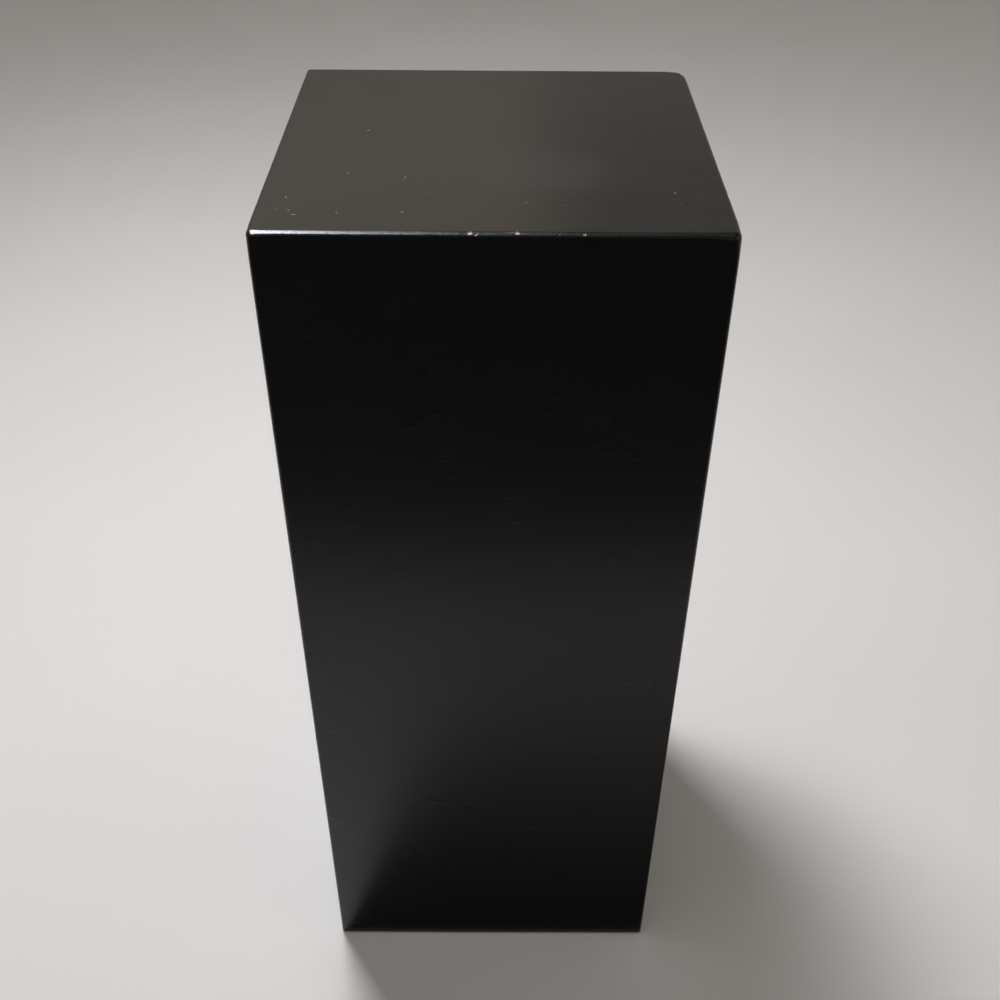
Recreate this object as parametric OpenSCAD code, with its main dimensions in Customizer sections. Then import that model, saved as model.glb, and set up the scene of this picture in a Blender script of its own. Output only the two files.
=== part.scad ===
// Display plinth: a tall mitred box of lacquered board over a softwood frame, with a plywood base
// that is screwed on from below and four levelling feet hidden under the lower edge.
// Origin: the middle of the footprint, on the floor. +Z is up and the front faces -Y. Millimetres.
// The feet are drawn wound right in.

/* [Shell] */
// Overall width, left to right
plinth_w = 400; // [320:10:600]
// Overall depth, front to back
plinth_d = 400; // [320:10:600]
// Overall height, floor to display face
plinth_h = 1000; // [600:10:1200]
// Thickness of the shell's panels
panel_t = 18; // [16:1:22]
// Radius of the rounded outer edges
edge_r = 4; // [2:0.5:6]
// Chamfer along the shell's lower edge
lower_chamfer = 1; // [0.5:0.5:2]
// Height of the shell's lower edge above the floor
floor_gap = 2; // [1:0.5:6]

/* [Inner frame] */
// Side of the square corner battens
batten = 30; // [24:1:36]
// Side of the square rails under the top panel
top_rail = 30; // [24:1:36]
// Side of the square cleats under the mid panel
cleat = 20; // [18:1:24]
// Thickness of the mid panel
mid_t = 12; // [9:1:15]
// Diameter of the hole in the mid panel
mid_hole_d = 90; // [40:5:90]
// Height of the base rails
base_rail_h = 40; // [30:1:50]
// Thickness of the base panel
base_t = 18; // [15:1:21]
// Height of the base panel's underside above the floor
base_z = 30; // [30:1:40]

/* [Biscuits] */
// Length of a biscuit
biscuit_l = 56; // [45:1:60]
// Width of a biscuit, half of it in each panel
biscuit_w = 23; // [16:1:23]
// Thickness of a biscuit
biscuit_t = 4; // [3:0.5:4]
// Biscuits in each upright mitre
upright_biscuit_count = 4; // [2:1:6]
// Biscuits in each mitre round the top panel
top_biscuit_count = 3; // [2:1:3]

/* [Wood screws] */
// Shank diameter
screw_d = 4; // [3.5:0.5:5]
// Head diameter
screw_head_d = 8; // [7:0.5:9]
// Depth that a screw reaches into the second piece
screw_bite = 10; // [8:1:12]
// Screws in each direction along a corner batten
batten_screw_count = 3; // [2:1:4]

/* [Levelling feet] */
// Distance from the battens and base rails to a foot's axis
foot_clear = 12; // [8:1:20]
// Pad diameter
pad_d = 40; // [30:1:50]
// Pad height, sole included
pad_h = 13; // [12:1:13]
// Sole thickness
sole_t = 3; // [2:0.5:3]
// Thread diameter
thread_d = 10; // [8:1:12]
// Distance across the flats of the stem's hexagon and of the lock nut
hex_af = 17; // [15:1:19]
// How far a foot winds down
foot_travel = 12; // [6:1:15]

/* [Hidden] */
$fn = 64;
SIDES = [0, 1, 2, 3];
SIDE_NAMES = ["front", "right", "back", "left"];
CORNER_NAMES = ["front_right", "back_right", "back_left", "front_left"];

LACQUER = "#111112";
SOFTWOOD = "#d8b683";
BOARD = "#a98a63";
PLYWOOD = "#c9a470";
BEECH = "#d9b27c";
STEEL = "#b9bcc0";
NYLON = "#1c1c1e";
RUBBER = "#2b2b2b";

// How far a cutting shape runs past the face that it cuts
past = 5;
// Gap round a biscuit or a screw in its slot or hole
fixing_gap = 0.05;
// Gap between a panel that drops in and the pieces round it
panel_gap = 0.5;
// Radial gap between a foot's thread and the nuts that it runs in
running_gap = 0.05;
// Gap between a foot's hexagon and its lock nut when the foot is wound right in
stop_gap = 0.5;

inner_w = plinth_w - 2 * panel_t;
inner_d = plinth_d - 2 * panel_t;
base_top = base_z + base_t;
top_underside = plinth_h - panel_t;
mid_z = plinth_h / 2;
biscuit_r = (biscuit_l * biscuit_l / 4 + biscuit_w * biscuit_w / 4) / biscuit_w;
// Distance of a biscuit from a mitre's inner corner, along X and along Y
biscuit_inset = 5;
screw_head_h = (screw_head_d - screw_d) / 2;
screw_tip_h = 4;

// Tee nut
tee_flange_d = 25;
tee_flange_t = 2;
tee_barrel_d = thread_d + 3;
tee_barrel_h = 12;
tee_prong = [4, 1, 8];

// Distance from the shell's outer faces to a foot's axis
foot_inset = panel_t + batten + foot_clear;

// Lock nut and stem
lock_nut_t = 6;
lock_nut_z = base_z - tee_flange_t - lock_nut_t;
hex_z = pad_h + 0.5;
hex_h = lock_nut_z - stop_gap - hex_z;
stem_end_z = base_top + foot_travel + 6;
stem_head_d = thread_d + 6;
stem_head_h = 3;
stem_neck_d = thread_d + 1;
socket_z = sole_t + 1;
socket_gap = 0.1;

// The four sides are turned copies of the front: a side's length and its distance from the middle
function run(side) = side % 2 == 0 ? plinth_w : plinth_d;
function reach(side) = (side % 2 == 0 ? plinth_d : plinth_w) / 2;

// `count` places spread evenly between two ends, in from each end by half a step
function spread(low, high, count) = [for (i = [0 : count - 1]) low + (i + 0.5) * (high - low) / count];

// Turns what is drawn for the front so that it stands at the given side. Corner 0 is the right-hand
// end of side 0, and so on round.
module facing(side) {
    rotate([0, 0, 90 * side]) children();
}

// Shell

// A rectangle with rounded corners
module rounded_plan(width, depth) {
    square([width - 2 * edge_r, depth], center = true);
    square([width, depth - 2 * edge_r], center = true);
    for (x = [-1, 1]) {
        for (y = [-1, 1]) {
            translate([x * (width / 2 - edge_r), y * (depth / 2 - edge_r)]) circle(edge_r);
        }
    }
}

// The shell's outline seen from the front: rounded above, chamfered below
module rounded_elevation(width) {
    half = width / 2;
    low = floor_gap + lower_chamfer;
    shoulder = plinth_h - edge_r;
    polygon([
        [-half + lower_chamfer, floor_gap], [half - lower_chamfer, floor_gap],
        [half, low], [half, shoulder], [-half, shoulder], [-half, low]
    ]);
    translate([-half + edge_r, low]) square([width - 2 * edge_r, plinth_h - low]);
    for (x = [-1, 1]) {
        translate([x * (half - edge_r), shoulder]) circle(edge_r);
    }
}

// The whole column as one block, for a given width and depth
module column(width, depth) {
    intersection() {
        linear_extrude(plinth_h + past) rounded_plan(width, depth);
        rotate([90, 0, 0]) linear_extrude(depth + 2 * past, center = true) rounded_elevation(width);
        rotate([90, 0, 90]) linear_extrude(width + 2 * past, center = true) rounded_elevation(depth);
    }
}

// A wall panel: the part of the column in front of both upright mitres and under the top mitre
module wall_blank(side) {
    half = run(side) / 2;
    face = reach(side);
    facing(side) intersection() {
        column(run(side), 2 * face);
        linear_extrude(plinth_h) polygon([
            [-half - past, -face - past], [half + past, -face - past],
            [half - panel_t, panel_t - face], [panel_t - half, panel_t - face]
        ]);
        rotate([90, 0, 90]) linear_extrude(2 * half + 2 * past, center = true) polygon([
            [-face - past, 0], [panel_t - face, 0],
            [panel_t - face, top_underside], [-face - past, plinth_h + past]
        ]);
    }
}

// Mitred upper slab seen from the front or from the side
module top_outline(width) {
    half = width / 2;
    polygon([
        [panel_t - half, top_underside], [half - panel_t, top_underside],
        [half + past, plinth_h + past], [-half - past, plinth_h + past]
    ]);
}

module top_blank() {
    intersection() {
        column(plinth_w, plinth_d);
        rotate([90, 0, 0]) linear_extrude(plinth_d + 2 * past, center = true) top_outline(plinth_w);
        rotate([90, 0, 90]) linear_extrude(plinth_w + 2 * past, center = true) top_outline(plinth_d);
    }
}

module wall_panel(side) {
    color(LACQUER) difference() {
        wall_blank(side);
        upright_biscuits_at(side, fixing_gap);
        upright_biscuits_at(side + 3, fixing_gap);
        top_biscuits_at(side, fixing_gap);
        batten_screws_at(side, 0, fixing_gap);
        batten_screws_at(side + 3, 1, fixing_gap);
        rail_screws_at(side, fixing_gap);
        cleat_screws_at(side, fixing_gap);
    }
}

module top_panel() {
    color(LACQUER) difference() {
        top_blank();
        for (side = SIDES) {
            top_biscuits_at(side, fixing_gap);
            top_screws_at(side, fixing_gap);
        }
    }
}

// Biscuits

// A biscuit: a lens with cut-off ends, its length along Z and its width along X
module biscuit(gap) {
    centre = biscuit_r - biscuit_w / 2;
    intersection_for(x = [-centre, centre]) {
        intersection() {
            translate([x, 0, 0]) rotate([90, 0, 0])
                cylinder(r = biscuit_r + gap, h = biscuit_t + 2 * gap, center = true);
            cube([biscuit_w + past, biscuit_t + past, biscuit_l * 0.9 + 2 * gap], center = true);
        }
    }
}

// Biscuits in the upright mitre at a corner
module upright_biscuits_at(corner, gap = 0) {
    x = run(corner) / 2 - panel_t + biscuit_inset;
    y = reach(corner) - panel_t + biscuit_inset;
    facing(corner) for (z = spread(base_z, top_underside, upright_biscuit_count)) {
        translate([x, -y, z]) rotate([0, 0, 45]) biscuit(gap);
    }
}

// Biscuits in the mitre between a wall and the top panel
module top_biscuits_at(side, gap = 0) {
    y = reach(side) - panel_t + biscuit_inset;
    z = top_underside + biscuit_inset;
    half = run(side) / 2 - panel_t - batten;
    facing(side) for (x = spread(-half, half, top_biscuit_count)) {
        translate([x, -y, z]) rotate([-45, 0, 0]) rotate([0, 90, 0]) biscuit(gap);
    }
}

module upright_biscuits() {
    color(BEECH) for (corner = SIDES) {
        upright_biscuits_at(corner);
    }
}

module top_biscuits() {
    color(BEECH) for (side = SIDES) {
        top_biscuits_at(side);
    }
}

// Inner frame

// A straight rail on the inside of a wall, between two battens
module rail(side, low, rail_d, rail_h) {
    length = run(side) - 2 * (panel_t + batten);
    facing(side) translate([-length / 2, panel_t - reach(side), low]) cube([length, rail_d, rail_h]);
}

module corner_batten(corner) {
    color(SOFTWOOD) difference() {
        facing(corner) translate([run(corner) / 2 - panel_t - batten, panel_t - reach(corner), base_top])
            cube([batten, batten, top_underside - base_top]);
        batten_screws_at(corner, 0, fixing_gap);
        batten_screws_at(corner, 1, fixing_gap);
    }
}

module top_rail_at(side) {
    color(SOFTWOOD) difference() {
        rail(side, top_underside - top_rail, top_rail, top_rail);
        rail_screws_at(side, fixing_gap);
        top_screws_at(side, fixing_gap);
    }
}

module cleat_at(side) {
    color(SOFTWOOD) difference() {
        rail(side, mid_z - cleat, cleat, cleat);
        cleat_screws_at(side, fixing_gap);
        mid_panel_screws_at(side, fixing_gap);
    }
}

module base_rail_at(side) {
    color(SOFTWOOD) difference() {
        rail(side, base_top, batten, base_rail_h);
        rail_screws_at(side, fixing_gap);
        base_panel_screws_at(side, fixing_gap);
    }
}

module mid_panel() {
    notch = batten + 2 * panel_gap;
    color(BOARD) difference() {
        translate([0, 0, mid_z + mid_t / 2])
            cube([inner_w - 2 * panel_gap, inner_d - 2 * panel_gap, mid_t], center = true);
        for (corner = SIDES) {
            facing(corner)
                translate([run(corner) / 2 - panel_t, panel_t - reach(corner), mid_z + mid_t / 2])
                    cube([2 * notch, 2 * notch, mid_t + past], center = true);
        }
        translate([0, 0, mid_z - past]) cylinder(d = mid_hole_d, h = mid_t + 2 * past);
        for (side = SIDES) {
            mid_panel_screws_at(side, fixing_gap);
        }
    }
}

module base_panel() {
    color(PLYWOOD) difference() {
        translate([0, 0, base_z + base_t / 2])
            cube([inner_w - 2 * panel_gap, inner_d - 2 * panel_gap, base_t], center = true);
        for (side = SIDES) {
            base_panel_screws_at(side, fixing_gap);
        }
        for (corner = SIDES) {
            at_foot(corner) translate([0, 0, base_z - past])
                cylinder(d = tee_barrel_d + 2 * fixing_gap, h = base_t + 2 * past);
        }
    }
}

// Wood screws

// A countersunk screw with the top of its head at the origin, driven along +Z
module wood_screw(length, gap = 0) {
    cylinder(d1 = screw_head_d + 2 * gap, d2 = screw_d + 2 * gap, h = screw_head_h);
    cylinder(d = screw_d + 2 * gap, h = length - screw_tip_h);
    translate([0, 0, length - screw_tip_h]) cylinder(d1 = screw_d + 2 * gap, d2 = 1, h = screw_tip_h + gap);
}

// Screws from a batten into one of its two walls: toward 0 is the wall of its own side, 1 the next wall
module batten_screws_at(corner, toward, gap = 0) {
    x = run(corner) / 2 - panel_t - batten;
    y = reach(corner) - panel_t - batten;
    stagger = 12 * (2 * toward - 1);
    facing(corner) for (z = spread(base_top + base_rail_h, top_underside - top_rail, batten_screw_count)) {
        if (toward == 0) {
            translate([x + batten / 2, -y, z + stagger]) rotate([90, 0, 0])
                wood_screw(batten + screw_bite, gap);
        } else {
            translate([x, -y - batten / 2, z + stagger]) rotate([0, 90, 0])
                wood_screw(batten + screw_bite, gap);
        }
    }
}

// Level screws through a rail of depth rail_d at height z, into its wall
module level_screws(side, z, rail_d, gap) {
    quarter = run(side) / 4;
    facing(side) for (x = [-quarter, quarter]) {
        translate([x, panel_t + rail_d - reach(side), z]) rotate([90, 0, 0])
            wood_screw(rail_d + screw_bite, gap);
    }
}

module rail_screws_at(side, gap = 0) {
    level_screws(side, top_underside - top_rail / 2, top_rail, gap);
    level_screws(side, base_top + base_rail_h * 0.7, batten, gap);
}

module cleat_screws_at(side, gap = 0) {
    level_screws(side, mid_z - cleat / 2, cleat, gap);
}

// Upright screws on a side, through a piece of thickness `through`: up from height z, or down from it
module upright_screws(side, z, rail_d, length, downward, gap) {
    eighth = run(side) / 8;
    facing(side) for (x = [-eighth, eighth]) {
        translate([x, panel_t + rail_d / 2 - reach(side), z]) rotate([downward ? 180 : 0, 0, 0])
            wood_screw(length, gap);
    }
}

module top_screws_at(side, gap = 0) {
    upright_screws(side, top_underside - top_rail, top_rail, top_rail + screw_bite, false, gap);
}

module mid_panel_screws_at(side, gap = 0) {
    upright_screws(side, mid_z + mid_t, cleat, mid_t + screw_bite, true, gap);
}

module base_panel_screws_at(side, gap = 0) {
    upright_screws(side, base_z, batten, base_t + 2 * screw_bite, false, gap);
}

module batten_screws() {
    color(STEEL) for (corner = SIDES) {
        batten_screws_at(corner, 0);
        batten_screws_at(corner, 1);
    }
}

module rail_screws() {
    color(STEEL) for (side = SIDES) {
        rail_screws_at(side);
    }
}

module top_screws() {
    color(STEEL) for (side = SIDES) {
        top_screws_at(side);
    }
}

module cleat_screws() {
    color(STEEL) for (side = SIDES) {
        cleat_screws_at(side);
    }
}

module mid_panel_screws() {
    color(STEEL) for (side = SIDES) {
        mid_panel_screws_at(side);
    }
}

module base_panel_screws() {
    color(STEEL) for (side = SIDES) {
        base_panel_screws_at(side);
    }
}

// Levelling feet

// Places what is drawn round the Z axis on a corner's foot axis
module at_foot(corner) {
    facing(corner) translate([run(corner) / 2 - foot_inset, foot_inset - reach(corner), 0]) children();
}

// A hexagon bar with its upper and lower corners turned off, as on a nut
module turned_hexagon(height) {
    corner_d = hex_af / cos(30);
    intersection() {
        cylinder(d = corner_d, h = height, $fn = 6);
        union() {
            cylinder(d1 = hex_af, d2 = hex_af + 2, h = 1);
            translate([0, 0, 1]) cylinder(d = corner_d + 1, h = height - 2);
            translate([0, 0, height - 1]) cylinder(d1 = hex_af + 2, d2 = hex_af, h = 1);
        }
    }
}

module tee_nuts() {
    bore_d = thread_d + 2 * running_gap;
    color(STEEL) for (corner = SIDES) {
        at_foot(corner) {
            difference() {
                union() {
                    translate([0, 0, base_z - tee_flange_t]) cylinder(d = tee_flange_d, h = tee_flange_t);
                    translate([0, 0, base_z - tee_flange_t]) cylinder(d = tee_barrel_d, h = tee_barrel_h);
                    for (turn = [45 : 90 : 315]) {
                        rotate([0, 0, turn]) translate([tee_flange_d / 2 - 3, -tee_prong.x / 2, base_z - 1])
                            cube([tee_prong.y, tee_prong.x, tee_prong.z + 1]);
                    }
                }
                translate([0, 0, base_z - past]) cylinder(d = bore_d, h = tee_barrel_h + 2 * past);
            }
        }
    }
}

module lock_nuts() {
    bore_d = thread_d + 2 * running_gap;
    color(STEEL) for (corner = SIDES) {
        at_foot(corner) translate([0, 0, lock_nut_z]) difference() {
            turned_hexagon(lock_nut_t);
            translate([0, 0, -past]) cylinder(d = bore_d, h = lock_nut_t + 2 * past);
        }
    }
}

// The threaded stem: a head that sits in the pad, a neck, a spanner hexagon and the thread
module foot_stem(corner) {
    head_z = socket_z + socket_gap;
    color(STEEL) at_foot(corner) {
        translate([0, 0, head_z]) cylinder(d = stem_head_d, h = stem_head_h);
        translate([0, 0, head_z]) cylinder(d = stem_neck_d, h = hex_z + 1 - head_z);
        translate([0, 0, hex_z]) turned_hexagon(hex_h);
        translate([0, 0, hex_z + 1]) cylinder(d = thread_d, h = stem_end_z - hex_z - 2);
        translate([0, 0, stem_end_z - 1]) cylinder(d1 = thread_d, d2 = thread_d - 2, h = 1);
    }
}

// The pad: a disc with a sloping shoulder and a socket that the stem's head snaps into
module foot_pad(corner) {
    pad_r = pad_d / 2;
    collar_r = hex_af / 2 + 1;
    color(NYLON) at_foot(corner) difference() {
        rotate_extrude() polygon([
            [0, sole_t], [pad_r, sole_t], [pad_r, sole_t + 3], [collar_r, pad_h], [0, pad_h]
        ]);
        translate([0, 0, socket_z])
            cylinder(d = stem_head_d + 2 * socket_gap, h = stem_head_h + 2 * socket_gap);
        translate([0, 0, socket_z]) cylinder(d = stem_neck_d + 2 * socket_gap, h = pad_h);
    }
}

module foot_sole(corner) {
    color(RUBBER) at_foot(corner) cylinder(d = pad_d - 2, h = sole_t);
}

for (side = SIDES) {
    wall_panel(side);
    top_rail_at(side);
    cleat_at(side);
    base_rail_at(side);
}
for (corner = SIDES) {
    corner_batten(corner);
    foot_stem(corner);
    foot_pad(corner);
    foot_sole(corner);
}
top_panel();
upright_biscuits();
top_biscuits();
mid_panel();
base_panel();
batten_screws();
rail_screws();
top_screws();
cleat_screws();
mid_panel_screws();
base_panel_screws();
tee_nuts();
lock_nuts();
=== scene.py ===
"""Looks for the display plinth: a shell of lacquered board over a softwood frame, on levelling feet.

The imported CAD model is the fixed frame. The shell's panels, the feet, their lock nuts and the base
screws are replaced by finished surfaces that are worked out here. The pieces inside keep their CAD
shape and get a finish. Lengths are in metres, +Z is up and the front faces -Y.
"""

import math
import bpy
import numpy as np
from mathutils import Matrix, Vector


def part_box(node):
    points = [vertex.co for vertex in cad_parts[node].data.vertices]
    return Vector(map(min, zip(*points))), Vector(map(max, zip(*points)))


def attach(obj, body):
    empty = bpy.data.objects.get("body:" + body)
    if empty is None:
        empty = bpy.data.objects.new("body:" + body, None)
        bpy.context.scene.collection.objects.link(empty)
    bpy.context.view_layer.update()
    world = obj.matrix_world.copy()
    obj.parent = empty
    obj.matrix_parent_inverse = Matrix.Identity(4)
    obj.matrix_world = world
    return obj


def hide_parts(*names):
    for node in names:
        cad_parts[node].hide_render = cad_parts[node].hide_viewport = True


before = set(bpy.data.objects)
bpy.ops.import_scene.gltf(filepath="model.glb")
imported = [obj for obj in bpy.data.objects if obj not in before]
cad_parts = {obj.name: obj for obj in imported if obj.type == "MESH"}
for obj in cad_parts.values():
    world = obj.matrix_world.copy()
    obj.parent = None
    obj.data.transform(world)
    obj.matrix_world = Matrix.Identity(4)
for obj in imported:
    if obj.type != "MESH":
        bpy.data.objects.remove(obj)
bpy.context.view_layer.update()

bl_info = {
    "name": "Display Plinth",
    "version": (1, 0, 0),
    "blender": (4, 5, 0),
    "location": "View3D > Sidebar > Plinth",
    "description": "Finishes a lacquered display plinth round its packed frame",
    "category": "Object",
}

CORNERS = ("front_right", "back_right", "back_left", "front_left")
SIDES = ("front", "right", "back", "left")
MM = 0.001

# The shell's outer faces, from the frame
LEFT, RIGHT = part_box("left_panel")[0].x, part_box("right_panel")[1].x
FRONT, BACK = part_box("front_panel")[0].y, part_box("back_panel")[1].y
FLOOR_GAP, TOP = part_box("front_panel")[0].z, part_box("top_panel")[1].z
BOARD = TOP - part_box("top_panel")[0].z


def srgb(code):
    """A hex colour such as #8a7f70 as linear red, green and blue."""
    parts = [int(code[i : i + 2], 16) / 255 for i in (1, 3, 5)]
    return tuple(c / 12.92 if c <= 0.04045 else ((c + 0.055) / 1.055) ** 2.4 for c in parts)


# Settings


# What settings of one kind have besides a name, a description and a default
COLOUR = {"size": 3, "min": 0.0, "max": 1.0, "subtype": "COLOR"}
SIZE = {"min": 0.1 * MM, "unit": "LENGTH"}
DEPTH = {"min": 0.0, "unit": "LENGTH"}


class PlinthShellSettings(bpy.types.PropertyGroup):
    """Sizes and colours of the lacquered shell."""

    edge_radius: bpy.props.FloatProperty(
        name="Edge radius", description="Radius of the rounded outer edges", default=4 * MM, **SIZE
    )
    lower_roll: bpy.props.FloatProperty(
        name="Lower roll",
        description="Radius of the eased edge at the foot of each wall",
        default=1 * MM,
        **SIZE,
    )
    wave_height: bpy.props.FloatProperty(
        name="Wave height",
        description="How far the rubbed-down faces rise and fall from flat",
        default=0.07 * MM,
        **DEPTH,
    )
    nick_depth: bpy.props.FloatProperty(
        name="Nick depth",
        description="Depth of the deepest nick in the front upper edge",
        default=0.7 * MM,
        **DEPTH,
    )
    lacquer_colour: bpy.props.FloatVectorProperty(
        name="Lacquer", description="Colour of the satin lacquer", default=srgb("#060606"), **COLOUR
    )
    worn_colour: bpy.props.FloatVectorProperty(
        name="Worn lacquer",
        description="Colour of lacquer that is rubbed thin or scuffed",
        default=srgb("#8d8a86"),
        **COLOUR,
    )
    board_colour: bpy.props.FloatVectorProperty(
        name="Board", description="Colour of the raw fibreboard", default=srgb("#a9885f"), **COLOUR
    )


class PlinthFootSettings(bpy.types.PropertyGroup):
    """Sizes of the levelling feet and of the screws under the base."""

    thread_pitch: bpy.props.FloatProperty(
        name="Thread pitch", description="Rise of the stem's thread in one turn", default=1.5 * MM, **SIZE
    )
    thread_depth: bpy.props.FloatProperty(
        name="Thread depth", description="Depth of the stem's thread", default=0.92 * MM, **SIZE
    )
    thread_diameter: bpy.props.FloatProperty(
        name="Thread diameter", description="Outside diameter of the stem's thread", default=10 * MM, **SIZE
    )
    grip_count: bpy.props.IntProperty(
        name="Grips", description="Hollows round the rim of a pad", default=18, min=3
    )
    grip_depth: bpy.props.FloatProperty(
        name="Grip depth",
        description="Depth of each hollow round the rim of a pad",
        default=0.5 * MM,
        **DEPTH,
    )
    steel_colour: bpy.props.FloatVectorProperty(
        name="Zinc plate", description="Colour of the zinc-plated steel", default=srgb("#c3c8cf"), **COLOUR
    )


class PlinthStageSettings(bpy.types.PropertyGroup):
    """The floor, the lights and the camera."""

    floor_colour: bpy.props.FloatVectorProperty(
        name="Floor", description="Colour of the pale floor", default=srgb("#dddcde"), **COLOUR
    )
    daylight: bpy.props.FloatProperty(
        name="Daylight", description="Strength of the soft light from all round", default=0.38, min=0.0
    )
    lens: bpy.props.FloatProperty(
        name="Lens",
        description="Focal length in millimetres on a 36 mm wide sensor",
        default=42.33,
        min=1.0,
    )
    shift: bpy.props.FloatProperty(
        name="Shift", description="How far the picture moves up, as a share of its width", default=0.045
    )
    tilt: bpy.props.FloatProperty(
        name="Tilt",
        description="How far the camera looks down from level",
        default=math.radians(39.645),
        subtype="ANGLE",
    )
    swing: bpy.props.FloatProperty(
        name="Swing",
        description="How far the camera looks to the left of straight ahead",
        default=math.radians(-0.307),
        subtype="ANGLE",
    )
    roll: bpy.props.FloatProperty(
        name="Roll",
        description="How far the camera is turned about its line of sight",
        default=math.radians(0.48),
        subtype="ANGLE",
    )
    place: bpy.props.FloatVectorProperty(
        name="Place",
        description="Where the camera stands",
        default=(0.00195, -1.0828, 1.4077),
        size=3,
        subtype="TRANSLATION",
    )


# Nodes and meshes


def feed(tree, node, inputs):
    """Sets or links each input of a node that is named. A node given as a value stands for its first
    output in use, and a colour of three values gets an alpha of 1."""
    for key, value in inputs.items():
        socket = node.inputs[key]
        if isinstance(value, bpy.types.Node):
            value = next(output for output in value.outputs if output.enabled)
        if isinstance(value, bpy.types.NodeSocket):
            tree.links.new(value, socket)
        elif socket.type == "RGBA":
            socket.default_value = (*value, 1.0)
        else:
            socket.default_value = value


def add(tree, kind, inputs=None, **settings):
    """Adds one shader node of a kind, with its settings, its values and its links."""
    node = tree.nodes.new(f"ShaderNode{kind}")
    for name, value in settings.items():
        setattr(node, name, value)
    feed(tree, node, inputs or {})
    return node


def new_material(name):
    """A material of one shader. Returns it with its node tree, the shader and the place on a piece."""
    material = bpy.data.materials.new(name)
    material.use_nodes = True
    tree = material.node_tree
    tree.nodes.clear()
    shader = add(tree, "BsdfPrincipled")
    add(tree, "OutputMaterial", {"Surface": shader})
    return material, tree, shader, add(tree, "TexCoord").outputs["Object"]


def grid_faces(rows, columns, turned=False):
    """Four-sided faces of a grid of points numbered row by row, anticlockwise where columns run to the
    right and rows run up. A turned grid's last column joins its first."""
    number = np.arange(rows * columns).reshape(rows, columns)
    if turned:
        number = np.concatenate([number, number[:, :1]], axis=1)
    corners = (number[:-1, :-1], number[:-1, 1:], number[1:, 1:], number[1:, :-1])
    return np.stack([c.ravel() for c in corners], axis=1)


def new_piece(name, points, faces, materials, slots=None):
    """A mesh object at the origin from points, faces and one material number for each face."""
    mesh = bpy.data.meshes.new(name)
    mesh.from_pydata(points.tolist(), [], faces)
    for material in materials:
        mesh.materials.append(material)
    if slots is not None:
        mesh.polygons.foreach_set("material_index", np.asarray(slots, dtype=np.int32))
    mesh.update()
    piece = bpy.data.objects.new(name, mesh)
    bpy.context.scene.collection.objects.link(piece)
    return piece


def smooth_between_creases(piece, crease):
    """Smooth shading that breaks at every edge that turns by more than the crease angle."""
    mesh = piece.data
    mesh.polygons.foreach_set("use_smooth", np.ones(len(mesh.polygons), dtype=bool))
    mesh.set_sharp_from_angle(angle=crease)
    mesh.update()


def angles(count):
    """Even angles round a full turn."""
    return np.arange(count) * 2 * np.pi / count


def turned_solid(rings, count, centre, closed_loop=False):
    """A solid of revolution whose radius and height may change with the angle.

    Each ring is a radius and a height, each the same all round or one for each of count angles a, and
    gives the points centre + (radius cos a, radius sin a, height). Rings start near the lower pole, run
    outwards and up, and end near the upper one. Each end is closed by a fan of triangles, or a closed
    loop joins the last ring to the first.
    """
    radius, height = (np.array([ring[part] * np.ones(count) for ring in rings]) for part in (0, 1))
    angle = angles(count)
    points = np.stack([radius * np.cos(angle), radius * np.sin(angle), height], axis=-1)
    rows = len(points)
    if closed_loop:
        faces = grid_faces(rows + 1, count, turned=True) % (rows * count)
        return points.reshape(-1, 3) + centre, faces.tolist()
    poles = np.array([[0, 0, height[0, 0]], [0, 0, height[-1, 0]]])
    here = np.arange(count)
    ahead = np.roll(here, -1)
    over = (rows - 1) * count
    lower = np.stack([np.full(count, rows * count), ahead, here], axis=1)
    upper = np.stack([np.full(count, rows * count + 1), over + here, over + ahead], axis=1)
    faces = grid_faces(rows, count, turned=True).tolist() + lower.tolist() + upper.tolist()
    return np.concatenate([points.reshape(-1, 3), poles]) + centre, faces


def joined(solids):
    """Several (points, faces) solids as one."""
    points, faces, start = [], [], 0
    for some_points, some_faces in solids:
        points.append(some_points)
        faces.extend([[start + corner for corner in face] for face in some_faces])
        start += len(some_points)
    return np.concatenate(points), faces


def foot_axis(corner):
    """Where a foot's axis meets the floor: the middle of its sole's box."""
    low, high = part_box(f"foot_sole_{corner}")
    return np.array([(low.x + high.x) / 2, (low.y + high.y) / 2, 0.0])


# Finishes


# Marks on the top face: place in millimetres from the middle, length, width, angle, strength
TOP_MARKS = (
    (-120, 22, 4.0, 1.6, 30, 0.8),
    (-129, -80, 3.0, 2.0, 80, 0.9),
    (-78, -89, 10.0, 1.2, 78, 0.5),
    (-76, -161, 3.6, 1.6, 150, 0.9),
    (-130, -163, 3.0, 1.5, 100, 0.8),
    (-165, -167, 4.5, 1.8, 20, 0.9),
    (-170, -159, 3.0, 2.0, 70, 1.0),
    (-180, -157, 2.4, 1.5, 40, 0.8),
    (-176, -133, 3.4, 1.5, 120, 0.7),
    (26, -141, 3.0, 1.6, 10, 0.7),
    (154, -119, 3.4, 1.8, 60, 0.8),
)
# How far a mark reaches above and below the top face
MARK_HEIGHT = 2 * MM
# Middle and radius of the patch on the top face that a damp cloth has dulled
WIPED_PATCH = (44 * MM, -69 * MM, 62 * MM)


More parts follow.
